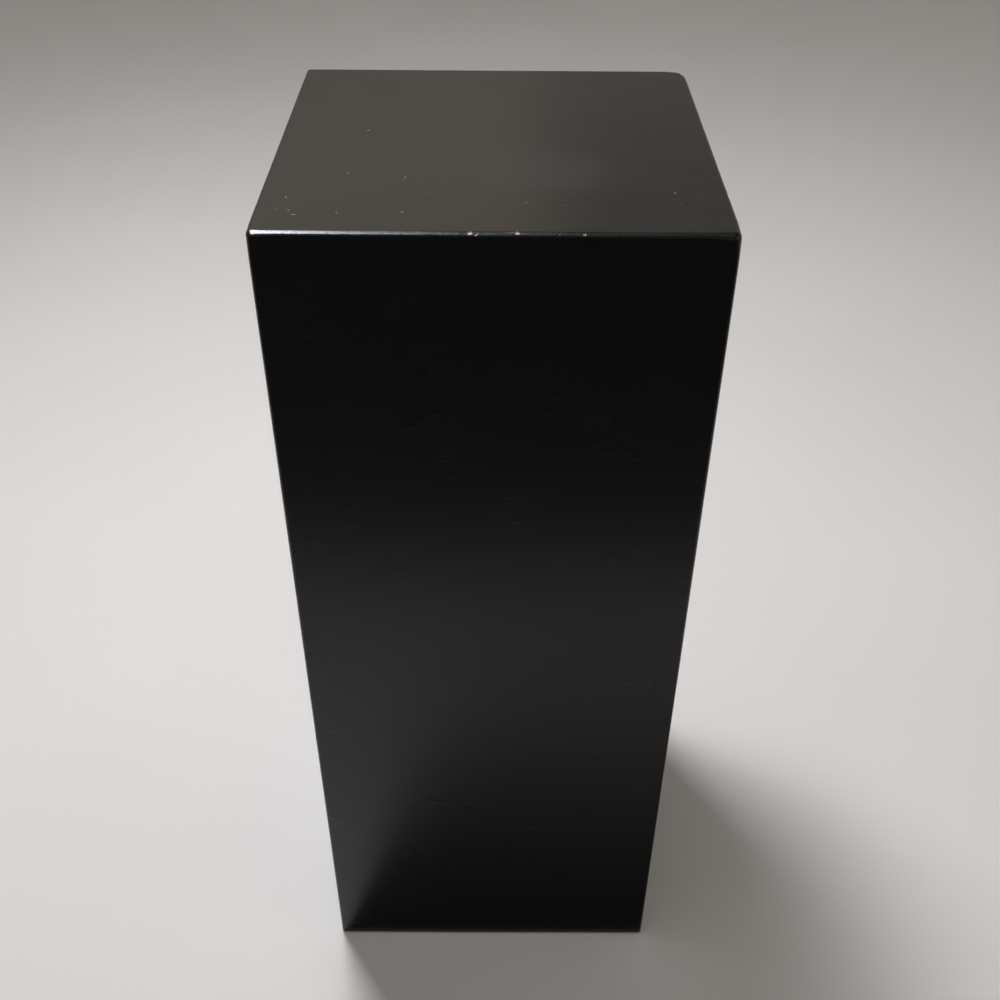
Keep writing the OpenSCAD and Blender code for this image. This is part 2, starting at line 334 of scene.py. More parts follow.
def satin_lacquer(settings):
    """Satin black lacquer, rolled on filled fibreboard and rubbed down.

    A near-black coat with a soft, wide sheen. The roller's fine streaks run from left to right, the
    peel of the film breaks the sheen up, cloths have left smudges, and the top has pale scuffs.
    """
    material, tree, shader, place = new_material("satin_black_lacquer")
    facing = add(tree, "NewGeometry").outputs["Normal"]
    steep = add(tree, "SeparateXYZ", {0: facing}).outputs["Z"]
    upward = add(tree, "MapRange", {"Value": steep, "From Min": 0.6, "From Max": 0.95})

    # Streaks of the roller, about 125 mm long and 4 mm apart, and smudges of cloths, about 70 mm across
    along = add(tree, "Mapping", {"Vector": place, "Scale": (8.0, 250.0, 250.0)})
    streaks = add(tree, "TexNoise", {"Vector": along, "Scale": 1.0, "Detail": 3.0})
    smudges = add(tree, "TexNoise", {"Vector": place, "Scale": 14.0, "Detail": 3.0, "Distortion": 0.3})
    # The walls were rubbed down further and are touched less: both swing about their middle value of a
    # half, a fifth as far there as on the top
    share = add(tree, "MapRange", {"Value": upward, "To Min": 0.2, "To Max": 1.0})
    level = add(tree, "Math", {0: share, 1: -0.5, 2: 0.5}, operation="MULTIPLY_ADD")
    streaks = add(tree, "Math", {0: streaks, 1: share, 2: level}, operation="MULTIPLY_ADD")
    smudges = add(tree, "Math", {0: smudges, 1: share, 2: level}, operation="MULTIPLY_ADD")
    # Peel of the sprayed and rolled film: real peel is 1 to 2 mm, drawn at 3 mm so that it shows
    peel = add(tree, "TexNoise", {"Vector": place, "Scale": 330.0, "Detail": 2.0})
    # Breaks the marks up into specks of about 1 mm
    specks = add(tree, "TexNoise", {"Vector": place, "Scale": 900.0, "Detail": 2.0})

    marks = 0.0
    for x, y, length, width, turn, strength in TOP_MARKS:
        middle = {
            "Vector": place,
            "Location": (x * MM, y * MM, TOP),
            "Rotation": (0.0, 0.0, math.radians(turn)),
            "Scale": (length * MM / 2, width * MM / 2, MARK_HEIGHT),
        }
        local = add(tree, "Mapping", middle, vector_type="TEXTURE")
        reach = add(tree, "VectorMath", {0: local}, operation="LENGTH")
        mark = add(tree, "MapRange", {"Value": reach, "From Min": 1.3, "From Max": 0.5, "To Max": strength})
        marks = add(tree, "Math", {0: marks, 1: mark}, operation="MAXIMUM")
    broken = add(tree, "MapRange", {"Value": specks, "From Min": 0.36, "From Max": 0.52})
    marks = add(tree, "Math", {0: marks, 1: broken}, operation="MULTIPLY")

    # The wiped patch fades out unevenly
    centre_x, centre_y, patch_radius = WIPED_PATCH
    patch = {
        "Vector": place,
        "Location": (centre_x, centre_y, TOP),
        "Scale": (patch_radius, patch_radius * 0.8, patch_radius),
    }
    patch_place = add(tree, "Mapping", patch, vector_type="TEXTURE")
    patch_reach = add(tree, "VectorMath", {0: patch_place}, operation="LENGTH")
    uneven = add(tree, "Math", {0: smudges, 1: 1.2, 2: patch_reach}, operation="MULTIPLY_ADD")
    edge = {"Value": uneven, "From Min": 1.9, "From Max": 1.1}
    wiped = add(tree, "MapRange", edge, interpolation_type="SMOOTHSTEP")

    # Lint that has settled on the top: specks in cells of 9 mm
    lint = add(tree, "TexVoronoi", {"Vector": place, "Scale": 110.0, "Randomness": 1.0})
    speck = add(tree, "MapRange", {"Value": lint, "From Min": 0.07, "From Max": 0.03})
    lint_mask = add(tree, "Math", {0: speck, 1: upward}, operation="MULTIPLY")

    # Rubbed arrises, and chips that go down to the board
    arris = add(tree, "Attribute", attribute_name="arris").outputs["Fac"]
    chip = add(tree, "Attribute", attribute_name="chip").outputs["Fac"]
    rub = add(tree, "TexNoise", {"Vector": place, "Scale": 38.0, "Detail": 6.0})
    rub_worn = add(tree, "MapRange", {"Value": rub, "From Min": 0.5, "From Max": 0.75})
    worn = add(tree, "Math", {0: arris, 1: rub_worn}, operation="MULTIPLY")

    # Colour: black, greyer where smudged, wiped, marked or worn, and board where chipped
    tone = add(tree, "MapRange", {"Value": smudges, "From Min": 0.35, "From Max": 0.7, "To Max": 0.004})
    streak_tone = add(
        tree, "MapRange", {"Value": streaks, "From Min": 0.35, "From Max": 0.65, "To Max": 0.01}
    )
    grey = add(tree, "Math", {0: tone, 1: streak_tone}, operation="ADD")
    for mask, amount in ((wiped, 0.02), (worn, 0.10), (lint_mask, 0.25), (marks, 0.6)):
        grey = add(tree, "Math", {0: mask, 1: amount, 2: grey}, operation="MULTIPLY_ADD")
    tones = {0: grey, 6: settings.lacquer_colour, 7: settings.worn_colour}
    coat = add(tree, "Mix", tones, data_type="RGBA")
    colour = add(tree, "Mix", {0: chip, 6: coat, 7: srgb("#e6dfd3")}, data_type="RGBA")

    # Sheen: satin, duller where wiped, marked or chipped, brighter where worn smooth
    sheen = {"Value": smudges, "From Min": 0.3, "From Max": 0.7, "To Min": 0.22, "To Max": 0.27}
    rough = add(tree, "MapRange", sheen)
    for mask, amount in ((streaks, 0.05), (wiped, 0.05), (marks, 0.3), (chip, 0.4), (worn, -0.08)):
        rough = add(tree, "Math", {0: mask, 1: amount, 2: rough}, operation="MULTIPLY_ADD")

    # Relief: the film's peel, which is heavier on an arris and faint on a wall, the streaks and the marks
    peel_share = add(tree, "Math", {0: arris, 1: 3.0, 2: share}, operation="MULTIPLY_ADD")
    peel_height = add(tree, "Math", {0: peel, 1: peel_share}, operation="MULTIPLY")
    relief = add(tree, "Bump", {"Strength": 1.0, "Distance": 0.035 * MM, "Height": peel_height})
    for pattern, depth, sunk in ((streaks, 0.012 * MM, False), (marks, 0.15 * MM, True)):
        cut = {"Strength": 1.0, "Distance": depth, "Height": pattern, "Normal": relief}
        relief = add(tree, "Bump", cut, invert=sunk)
    feed(tree, shader, {"Base Color": colour, "Roughness": rough, "IOR": 1.46, "Normal": relief})
    return material


def raw_fibreboard(settings, overspray):
    """Medium-density fibreboard, sawn: an even tan felt of fibres with darker flecks.

    With overspray, the black lacquer has crept over the outer rim of the cut edge.
    """
    material, tree, shader, place = new_material(
        "sawn_fibreboard_oversprayed" if overspray else "sawn_fibreboard"
    )
    # Fibre bundles about 1.5 mm long, drawn at 3 mm so that they show, and flecks of 6 mm
    fibres = add(tree, "TexNoise", {"Vector": place, "Scale": 330.0, "Detail": 6.0})
    flecks = add(tree, "TexNoise", {"Vector": place, "Scale": 160.0, "Detail": 2.0})
    fleck_mask = add(tree, "MapRange", {"Value": flecks, "From Min": 0.58, "From Max": 0.72, "To Max": 0.6})
    felt = add(tree, "Mix", {0: fibres, 6: srgb("#8f6f49"), 7: settings.board_colour}, data_type="RGBA")
    colour = add(tree, "Mix", {0: fleck_mask, 6: felt, 7: srgb("#6f5334")}, data_type="RGBA")
    if overspray:
        split = add(tree, "SeparateXYZ", {0: place})
        across = add(tree, "Math", {0: split.outputs["X"]}, operation="ABSOLUTE")
        deep = add(tree, "Math", {0: split.outputs["Y"]}, operation="ABSOLUTE")
        outward = add(tree, "Math", {0: across, 1: deep}, operation="MAXIMUM")
        ragged = add(tree, "Math", {0: fibres, 1: 6 * MM, 2: outward}, operation="MULTIPLY_ADD")
        rim_span = {"Value": ragged, "From Min": RIGHT - 4 * MM, "From Max": RIGHT - 1 * MM}
        rim = add(tree, "MapRange", rim_span)
        colour = add(tree, "Mix", {0: rim, 6: colour, 7: settings.lacquer_colour}, data_type="RGBA")
    relief = add(tree, "Bump", {"Strength": 0.6, "Distance": 0.2 * MM, "Height": fibres})
    feed(tree, shader, {"Base Color": colour, "Roughness": 0.82, "IOR": 1.45, "Normal": relief})
    return material


def planed_pine(name, along):
    """Planed pine: growth rings stretched along one axis, 3 mm apart, with fine fibres between."""
    material, tree, shader, place = new_material(name)
    ring_scale = [300.0, 300.0, 300.0]
    ring_scale[along] = 6.0
    fibre_scale = [1500.0, 1500.0, 1500.0]
    fibre_scale[along] = 40.0
    rings_place = add(tree, "Mapping", {"Vector": place, "Scale": ring_scale})
    rings = add(tree, "TexNoise", {"Vector": rings_place, "Scale": 1.0, "Detail": 2.0, "Distortion": 0.4})
    fibres_place = add(tree, "Mapping", {"Vector": place, "Scale": fibre_scale})
    fibres = add(tree, "TexNoise", {"Vector": fibres_place, "Scale": 1.0, "Detail": 3.0})
    late = add(tree, "MapRange", {"Value": rings, "From Min": 0.42, "From Max": 0.62})
    knots = add(tree, "TexVoronoi", {"Vector": place, "Scale": 9.0})
    knot = add(tree, "MapRange", {"Value": knots, "From Min": 0.09, "From Max": 0.05})
    wood = add(tree, "Mix", {0: late, 6: srgb("#dcbf90"), 7: srgb("#bf9258")}, data_type="RGBA")
    fibred = add(tree, "Mix", {0: fibres, 6: wood, 7: srgb("#e6cfa6")}, data_type="RGBA")
    colour = add(tree, "Mix", {0: knot, 6: fibred, 7: srgb("#6d4423")}, data_type="RGBA")
    rough = add(tree, "MapRange", {"Value": late, "To Min": 0.68, "To Max": 0.55})
    relief = add(tree, "Bump", {"Strength": 0.5, "Distance": 0.15 * MM, "Height": fibres})
    feed(tree, shader, {"Base Color": colour, "Roughness": rough, "IOR": 1.45, "Normal": relief})
    return material


def birch_plywood():
    """Birch plywood, sealed: pale rotary-cut veneer on its faces, and plies 1.4 mm thick on its edges."""
    material, tree, shader, place = new_material("sealed_birch_plywood")
    facing = add(tree, "NewGeometry").outputs["Normal"]
    steep = add(tree, "SeparateXYZ", {0: facing}).outputs["Z"]
    flat = add(tree, "Math", {0: steep}, operation="ABSOLUTE")
    figure_place = add(tree, "Mapping", {"Vector": place, "Scale": (4.0, 45.0, 45.0)})
    figure = add(tree, "TexNoise", {"Vector": figure_place, "Scale": 1.0, "Detail": 4.0, "Distortion": 1.4})
    pores_place = add(tree, "Mapping", {"Vector": place, "Scale": (90.0, 900.0, 900.0)})
    pores = add(tree, "TexNoise", {"Vector": pores_place, "Scale": 1.0, "Detail": 2.0})
    veneer = add(tree, "Mix", {0: figure, 6: srgb("#c9a773"), 7: srgb("#ead3a8")}, data_type="RGBA")
    pore = add(tree, "MapRange", {"Value": pores, "From Min": 0.62, "From Max": 0.72, "To Max": 0.35})
    face = add(tree, "Mix", {0: pore, 6: veneer, 7: srgb("#8a6335")}, data_type="RGBA")
    level = add(tree, "SeparateXYZ", {0: place}).outputs["Z"]
    ply = add(tree, "Math", {0: level, 1: 1.4 * MM}, operation="PINGPONG")
    ply_tone = add(tree, "MapRange", {"Value": ply, "From Min": 0.65 * MM, "From Max": 0.75 * MM})
    edge = add(tree, "Mix", {0: ply_tone, 6: srgb("#8c6234"), 7: srgb("#d9b981")}, data_type="RGBA")
    is_face = add(tree, "Math", {0: flat, 1: 0.5}, operation="GREATER_THAN")
    colour = add(tree, "Mix", {0: is_face, 6: edge, 7: face}, data_type="RGBA")
    rough = add(tree, "MapRange", {"Value": figure, "To Min": 0.42, "To Max": 0.6})
    relief = add(tree, "Bump", {"Strength": 0.5, "Distance": 0.08 * MM, "Height": pores}, invert=True)
    feed(tree, shader, {"Base Color": colour, "Roughness": rough, "IOR": 1.48, "Normal": relief})
    return material


def pressed_beech():
    """Beech, compressed: brown-pink wood with short ray flecks and the press's diamond embossing."""
    material, tree, shader, place = new_material("pressed_beech")
    flecks_place = add(tree, "Mapping", {"Vector": place, "Scale": (900.0, 900.0, 350.0)})
    flecks = add(tree, "TexNoise", {"Vector": flecks_place, "Scale": 1.0, "Detail": 2.0})
    fleck = add(tree, "MapRange", {"Value": flecks, "From Min": 0.52, "From Max": 0.68})
    colour = add(tree, "Mix", {0: fleck, 6: srgb("#d2a877"), 7: srgb("#9c6e41")}, data_type="RGBA")
    diamonds = add(tree, "TexVoronoi", {"Vector": place, "Scale": 450.0, "Randomness": 0.0})
    relief = add(tree, "Bump", {"Strength": 0.7, "Distance": 0.2 * MM, "Height": diamonds})
    rough = add(tree, "MapRange", {"Value": fleck, "To Min": 0.7, "To Max": 0.5})
    feed(tree, shader, {"Base Color": colour, "Roughness": rough, "IOR": 1.45, "Normal": relief})
    return material


def zinc_plated_steel(settings):
    """Steel, zinc plated and passivated: a grey metal with a faint blue and straw bloom and fine grain."""
    material, tree, shader, place = new_material("bright_zinc_plate")
    # Bloom of the passivation in clouds of 8 mm, and plating grain of 1 mm
    bloom = add(tree, "TexNoise", {"Vector": place, "Scale": 120.0, "Detail": 3.0})
    grain = add(tree, "TexNoise", {"Vector": place, "Scale": 1000.0, "Detail": 3.0})
    straw = add(tree, "MapRange", {"Value": bloom, "From Min": 0.45, "From Max": 0.7, "To Max": 0.5})
    colour = add(tree, "Mix", {0: straw, 6: settings.steel_colour, 7: srgb("#b9b29a")}, data_type="RGBA")
    sheen = {"Value": grain, "From Min": 0.3, "From Max": 0.7, "To Min": 0.22, "To Max": 0.42}
    rough = add(tree, "MapRange", sheen)
    relief = add(tree, "Bump", {"Strength": 0.4, "Distance": 0.03 * MM, "Height": grain})
    feed(tree, shader, {"Base Color": colour, "Metallic": 1.0, "Roughness": rough, "Normal": relief})
    return material


def moulded_nylon():
    """Black nylon, injection moulded: a dull, even, spark-eroded skin with scuffed dust in it."""
    material, tree, shader, place = new_material("moulded_black_nylon")
    # Spark-eroded mould skin: 0.3 mm pits, drawn at 0.7 mm so that they show
    skin = add(tree, "TexNoise", {"Vector": place, "Scale": 1400.0, "Detail": 2.0})
    dust = add(tree, "TexNoise", {"Vector": place, "Scale": 90.0, "Detail": 5.0})
    dusty = add(tree, "MapRange", {"Value": dust, "From Min": 0.5, "From Max": 0.8, "To Max": 0.35})
    colour = add(tree, "Mix", {0: dusty, 6: srgb("#17171a"), 7: srgb("#55524d")}, data_type="RGBA")
    rough = add(tree, "MapRange", {"Value": skin, "To Min": 0.42, "To Max": 0.6})
    relief = add(tree, "Bump", {"Strength": 0.5, "Distance": 0.05 * MM, "Height": skin})
    feed(tree, shader, {"Base Color": colour, "Roughness": rough, "IOR": 1.53, "Normal": relief})
    return material


def moulded_rubber():
    """Rubber, pressed in a mould: matt dark grey that holds pale floor dust."""
    material, tree, shader, place = new_material("moulded_rubber")
    dust = add(tree, "TexNoise", {"Vector": place, "Scale": 160.0, "Detail": 6.0})
    dusty = add(tree, "MapRange", {"Value": dust, "From Min": 0.45, "From Max": 0.75, "To Max": 0.5})
    colour = add(tree, "Mix", {0: dusty, 6: srgb("#222222"), 7: srgb("#77736c")}, data_type="RGBA")
    relief = add(tree, "Bump", {"Strength": 0.5, "Distance": 0.06 * MM, "Height": dust})
    feed(tree, shader, {"Base Color": colour, "Roughness": 0.85, "IOR": 1.52, "Normal": relief})
    return material


# Shell


# Knocked corners: place, how much rounder the corner is, and how far the knock reaches
KNOCKS = (
    ((RIGHT, BACK, TOP), 9 * MM, 11 * MM),
    ((RIGHT, FRONT, TOP), 3 * MM, 16 * MM),
    ((LEFT, FRONT, TOP), 1.5 * MM, 14 * MM),
)
# Nicks in the front upper edge: place along it, share of the edge's front face (0 above, 1 in front), width
NICKS = (
    (-20 * MM, 0.45, 1.2 * MM),
    (-15 * MM, 0.60, 0.9 * MM),
    (18 * MM, 0.40, 1.1 * MM),
    (52 * MM, 0.50, 0.45 * MM),
    (72 * MM, 0.55, 0.8 * MM),
)
# Steps along a face: round each edge, then growing from the smallest up to the largest in the middle
ARC_STEPS = 8
SMALLEST_STEP = 1.2 * MM
STEP_GROWTH = 1.25
GROWING_STEPS = 11
LARGEST_STEP = 12 * MM


def stations(length, radius, rolled=0.0):
    """Places along a face from 0 to its length, closer together at its rounded ends.

    Each end starts with equal angles round its radius, radius (1 - tan a) for a from 45 degrees to 0.
    Steps then grow by a quarter each, and the middle is even. A rolled lower end takes the place of
    the first radius: rolled (1 - sin a) for a from 90 degrees to 0.
    """
    angle = np.linspace(np.pi / 4, 0, ARC_STEPS + 1)
    arc = radius * (1 - np.tan(angle))
    growth = np.cumsum(SMALLEST_STEP * STEP_GROWTH ** np.arange(GROWING_STEPS))
    start = arc
    if rolled:
        start = rolled * (1 - np.sin(np.linspace(np.pi / 2, 0, ARC_STEPS - 2)))
    low = np.concatenate([start, start[-1] + growth])
    high = length - np.concatenate([arc, arc[-1] + growth])[::-1]
    steps = math.ceil((high[0] - low[-1]) / LARGEST_STEP)
    middle = np.linspace(low[-1], high[0], steps + 1)[1:-1]
    return np.concatenate([low, middle, high])


def with_fine_spots(places):
    """Adds fine, even places round each nick, and drops any that come closer than half a step."""
    half, step = 2.1 * MM, 0.3 * MM
    extra = [x + np.arange(-half, half + step / 2, step) for x, _, _ in NICKS]
    every = np.unique(np.concatenate([places, *extra]))
    keep = np.concatenate([[True], np.diff(every) > step / 2])
    return every[keep]


def rounded_column(points, radius):
    """Rolls the surface of the sharp column over into the rounded one.

    With r the radius at a point p, core is p clipped to the box shrunk by r on every side but the
    lowest, and the rounded point is core + r (p - core) / |p - core|. The radius is the edge radius
    plus extra exp(-(distance / reach)^2) for each knocked corner. Returns the points, the outward
    directions, and how near each point is to the middle of an arris, from 0 to 1.
    """
    r = np.full(points.shape[:-1] + (1,), radius)
    for corner, extra, reach in KNOCKS:
        away = np.linalg.norm(points - np.array(corner), axis=-1, keepdims=True)
        r = r + extra * np.exp(-((away / reach) ** 2))
    low = np.array([LEFT, FRONT, -1.0]) + r
    high = np.array([RIGHT, BACK, TOP]) - r
    core = np.clip(points, low, high)
    step = points - core
    outward = step / np.linalg.norm(step, axis=-1, keepdims=True)
    turned = (1 - np.abs(outward).max(axis=-1)) / (1 - math.sqrt(0.5))
    return core + r * outward, outward, np.clip(turned, 0, 1)


def nick_places(radius):
    """The middle of each nick on the front upper arris, with its width."""
    core = np.array([0.0, FRONT + radius, TOP - radius])
    found = []
    for x, share, width in NICKS:
        angle = share * np.pi / 2
        out = np.array([0.0, -math.sin(angle), math.cos(angle)])
        found.append((core + radius * out + np.array([x, 0.0, 0.0]), width))
    return found


def nick_mask(points, radius):
    """1 inside a nick and 0 outside: the largest exp(-(distance / width)^4) over the nicks, with the
    distance made uneven by a wave so that no nick is round."""
    mask = np.zeros(points.shape[:-1])
    for number, (middle, width) in enumerate(nick_places(radius)):
        offset = points - middle
        ripple = np.sin(4100 * offset[..., 0] + 2.1 * number) * np.cos(3300 * offset[..., 2] + number)
        wobble = 1 + 0.25 * ripple
        away = np.linalg.norm(offset * np.array([0.75, 1.2, 1.2]), axis=-1) * wobble
        mask = np.maximum(mask, np.exp(-((away / width) ** 4)))
    return mask


def surface_height(points, settings):
    """How far the shell's surface stands out from its true shape at each point: slow waves left by
    rubbing down, the sum of three sines 170 to 410 mm long, less the depth of each nick."""
    x, y, z = np.moveaxis(points, -1, 0)
    waves = (
        np.sin(17.0 * x + 11.0 * z + 1.3)
        + np.sin(23.0 * y - 14.0 * z + 0.4)
        + np.sin(31.0 * z + 19.0 * x - 9.0 * y)
    )
    return settings.wave_height * waves / 3 - settings.nick_depth * nick_mask(points, settings.edge_radius)


def raised(points, outward, settings):
    """Moves points outward by their surface height h and tilts their directions by its slope: the new
    direction is outward - (grad h - (grad h . outward) outward), made of length 1. The slope comes
    from the difference of h over 0.2 mm along each axis, so panels that meet agree at their mitre."""
    reach = 0.1 * MM
    slope = np.zeros(points.shape)
    for axis in range(3):
        shift = np.zeros(3)
        shift[axis] = reach
        rise = surface_height(points + shift, settings) - surface_height(points - shift, settings)
        slope[..., axis] = rise / (2 * reach)
    slope -= (slope * outward).sum(axis=-1, keepdims=True) * outward
    tilted = outward - slope
    tilted /= np.linalg.norm(tilted, axis=-1, keepdims=True)
    return points + outward * surface_height(points, settings)[..., None], tilted


def mitred_panel(side, sharp, inner, roll, settings, materials):
    """One panel of the shell as a closed solid, riding on the plinth in place of its CAD node.

    Its outer face is a grid over the sharp column's face, rolled over at its edges and raised by its
    waves and nicks. Its inner face is the same grid, flat and drawn in by the board's thickness on each
    mitred side. A strip of faces joins the two round the border, along the mitres.
    """
    outer, outward, turned = rounded_column(sharp, settings.edge_radius)
    angle = roll[:, None, None]
    outer = outer - outward * settings.lower_roll * (1 - np.cos(angle))
    outward = outward * np.cos(angle) - np.array([0.0, 0.0, 1.0]) * np.sin(angle)
    outer, tilted = raised(outer, outward, settings)
    height, width = outer.shape[:2]
    count = height * width
    face = grid_faces(height, width)
    number = np.arange(count).reshape(height, width)
    ring = np.concatenate([number[0, :-1], number[:-1, -1], number[-1, :0:-1], number[:0:-1, 0]])
    after = np.roll(ring, -1)
    border = np.stack([ring, ring + count, after + count, after], axis=1)
    faces = np.concatenate([face, face[:, ::-1] + count, border])
    slots = np.concatenate([np.zeros(len(face)), np.ones(len(face) + len(border))])
    points = np.concatenate([outer.reshape(-1, 3), inner.reshape(-1, 3)])
    piece = new_piece(f"lacquered_{side}_panel", points, faces.tolist(), materials, slots)
    mesh = piece.data
    for label, values in (("arris", turned), ("chip", nick_mask(outer, settings.edge_radius))):
        layer = mesh.attributes.new(label, "FLOAT", "POINT")
        layer.data.foreach_set("value", np.concatenate([values.ravel(), np.zeros(count)]))
    mesh.polygons.foreach_set("use_smooth", slots == 0)
    normals = np.zeros((len(mesh.loops), 3))
    normals[: face.size] = tilted.reshape(-1, 3)[face.ravel()]
    mesh.normals_split_custom_set(normals.tolist())
    mesh.update()
    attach(piece, "plinth")
    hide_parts(f"{side}_panel")


def wall_panel(side, settings, materials):
    """A wall: its sharp face runs from mitre to mitre and from the floor gap to the top's mitre."""
    turn = SIDES.index(side) * math.pi / 2
    across = np.array([math.cos(turn), math.sin(turn), 0.0]).round()
    outward = np.array([math.sin(turn), -math.cos(turn), 0.0]).round()
    length = abs(across @ np.array([RIGHT - LEFT, BACK - FRONT, 0.0]))
    reach = abs(outward @ np.array([RIGHT - LEFT, BACK - FRONT, 0.0])) / 2
    u = stations(length, settings.edge_radius) - length / 2
    if side == "front":
        u = with_fine_spots(u)
    z = FLOOR_GAP + stations(TOP - FLOOR_GAP, settings.edge_radius, settings.lower_roll)
    roll = np.arcsin(np.clip(1 - (z - FLOOR_GAP) / settings.lower_roll, 0, 1))
    columns, rows = np.meshgrid(u, z)
    up = np.array([0.0, 0.0, 1.0])
    sharp = columns[..., None] * across + rows[..., None] * up + reach * outward
    drawn_in = (length / 2 - BOARD) / (length / 2)
    lowered = (TOP - BOARD - FLOOR_GAP) / (TOP - FLOOR_GAP)
    inner_rows = FLOOR_GAP + (rows - FLOOR_GAP) * lowered
    inner = (
        columns[..., None] * drawn_in * across + inner_rows[..., None] * up + (reach - BOARD) * outward
    )
    mitred_panel(side, sharp, inner, roll, settings, materials)


def top_panel(settings, materials):
    """The top: its sharp face runs from mitre to mitre both ways."""
    width, depth = RIGHT - LEFT, BACK - FRONT
    u = stations(width, settings.edge_radius) - width / 2
    u = with_fine_spots(u)
    v = stations(depth, settings.edge_radius) - depth / 2
    columns, rows = np.meshgrid(u, v)
    level = np.full(columns.shape, TOP)
    sharp = np.stack([columns, rows, level], axis=-1)
    inner = np.stack(
        [columns * (1 - 2 * BOARD / width), rows * (1 - 2 * BOARD / depth), level - BOARD], axis=-1
    )
    mitred_panel("top", sharp, inner, np.zeros(len(v)), settings, materials)


# Feet, nuts and screws


# Points round each kind of turned piece
HEXAGON_POINTS = 48
RIM_POINTS = 108
SOLE_POINTS = 64
SCREW_POINTS = 40


def hexagon_radius(angle, flats):
    """Radius of a hexagon with a corner at angle 0: flats / 2 over the cosine of the angle to the
    nearest flat's middle."""
    from_flat = np.abs(angle % (np.pi / 3) - np.pi / 6)
    return flats / 2 / np.cos(from_flat)


def spanner_size(corner):
    """The size across flats of a foot's hexagons, and the turn of their first corner."""
    low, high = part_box(f"foot_stem_{corner}")
    width, depth = high.x - low.x, high.y - low.y
    return max(width, depth) * math.cos(math.pi / 6), 0.0 if width > depth else math.pi / 2


def stem_solid(corner, settings):
    """A foot's stem: a head, a neck, a spanner hexagon with turned-off corners and a real thread.

    The thread's radius is outer - depth g, where g is |2 frac(height / pitch - angle / turn) - 1| made
    1.3 times as steep and cut off at 0 and 1. It comes out of the root at the hexagon, and a cone cuts
    it back at the top.
    """
    low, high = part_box(f"foot_stem_{corner}")
    flats, corner_turn = spanner_size(corner)
    outer = settings.thread_diameter / 2
    root = outer - settings.thread_depth
    head, neck = outer + 3 * MM, outer + 0.5 * MM
    head_top = low.z + 3 * MM
    ease, gap = 0.4 * MM, 0.5 * MM
    hex_low, hex_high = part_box(f"foot_pad_{corner}")[1].z + gap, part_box("lock_nuts")[0].z - gap
    rings = [
        (head - ease, low.z),
        (head, low.z + ease),
        (head, head_top - ease),
        (head - ease, head_top),
        (neck, head_top),
        (neck, hex_low),
    ]
    angle = angles(HEXAGON_POINTS)
    hexagon = hexagon_radius(angle - corner_turn, flats)
    for height in np.linspace(hex_low, hex_high, 15):
        from_end = min(height - hex_low, hex_high - height)
        rings.append((np.minimum(hexagon, flats / 2 + from_end * 1.6), height))
    rings.append((root, hex_high))
    height = np.arange(hex_high + 0.2 * MM, high.z - 0.1 * MM, settings.thread_pitch / 6)[:, None]
    phase = height / settings.thread_pitch - angle / (2 * np.pi)
    groove = np.clip(np.abs(2 * (phase % 1.0) - 1) * 1.3 - 0.15, 0, 1)
    cone = outer - 1.2 * MM + (high.z - height)
    run_out = root + (height - hex_high) * 0.8
    thread = np.minimum(np.minimum(outer - settings.thread_depth * groove, cone), run_out)
    rings.extend(zip(thread, height))
    rings.append((root - 0.5 * MM, high.z))
    return turned_solid(rings, HEXAGON_POINTS, foot_axis(corner))


def pad_solid(corner, settings):
    """A foot's pad: a profile turned about the axis, from the middle of its underside out to the rim,
    up its dished shoulder to the collar, and down into the socket. The rim's radius dips by
    depth (0.5 - 0.5 cos(count angle)) ^ 3 at each grip."""
    low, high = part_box(f"foot_pad_{corner}")
    outer = (high.x - low.x) / 2
    stem_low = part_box(f"foot_stem_{corner}")[0].z
    neck = settings.thread_diameter / 2 + 0.6 * MM
    socket = neck + 2.5 * MM
    socket_floor, socket_roof = stem_low - 0.1 * MM, stem_low + 3.1 * MM
    collar = outer * 0.475
    rim_top = low.z + 3 * MM
    up = np.linspace(0, 1, 9)
    shoulder_radius = outer - 0.5 * MM - (outer - collar - 1.0 * MM) * up
    shoulder_height = rim_top + (high.z - rim_top - 0.6 * MM) * up ** 1.35
    # Radius, height and how much of the grips' depth shows there: all of it on the rim, and part of it
    # on the lowest quarter of the shoulder
    profile = [
        (outer - 0.6 * MM, low.z, 0.0),
        (outer, low.z + 0.6 * MM, 1.0),
        (outer, rim_top - 0.5 * MM, 1.0),
        *zip(shoulder_radius, shoulder_height, np.where(up > 0.25, 0.0, 0.6)),
        (collar, high.z, 0.0),
        (neck + 0.3 * MM, high.z, 0.0),
        (neck, high.z - 0.3 * MM, 0.0),
        (neck, socket_roof, 0.0),
        (socket, socket_roof, 0.0),
        (socket, socket_floor, 0.0),
    ]
    hollow = (0.5 - 0.5 * np.cos(settings.grip_count * angles(RIM_POINTS))) ** 3
    rings = [(radius - settings.grip_depth * grip * hollow, height) for radius, height, grip in profile]
    return turned_solid(rings, RIM_POINTS, foot_axis(corner))


def sole_solid(corner):
    """A foot's sole: a disc with an eased rim and three ring grooves in its underside, as a profile
    turned about the axis."""
    low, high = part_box(f"foot_sole_{corner}")
    outer = (high.x - low.x) / 2
    groove = ((-0.8, 0.0), (-0.5, 0.8), (0.5, 0.8), (0.8, 0.0))
    rings = [
        (outer * middle + side * MM, low.z + depth * MM)
        for middle in (0.3, 0.55, 0.8)
        for side, depth in groove
    ]
    rings += [
        (outer - 0.5 * MM, low.z),
        (outer, low.z + 0.5 * MM),
        (outer, high.z - 0.3 * MM),
        (outer - 0.3 * MM, high.z),
    ]
    return turned_solid(rings, SOLE_POINTS, foot_axis(corner))


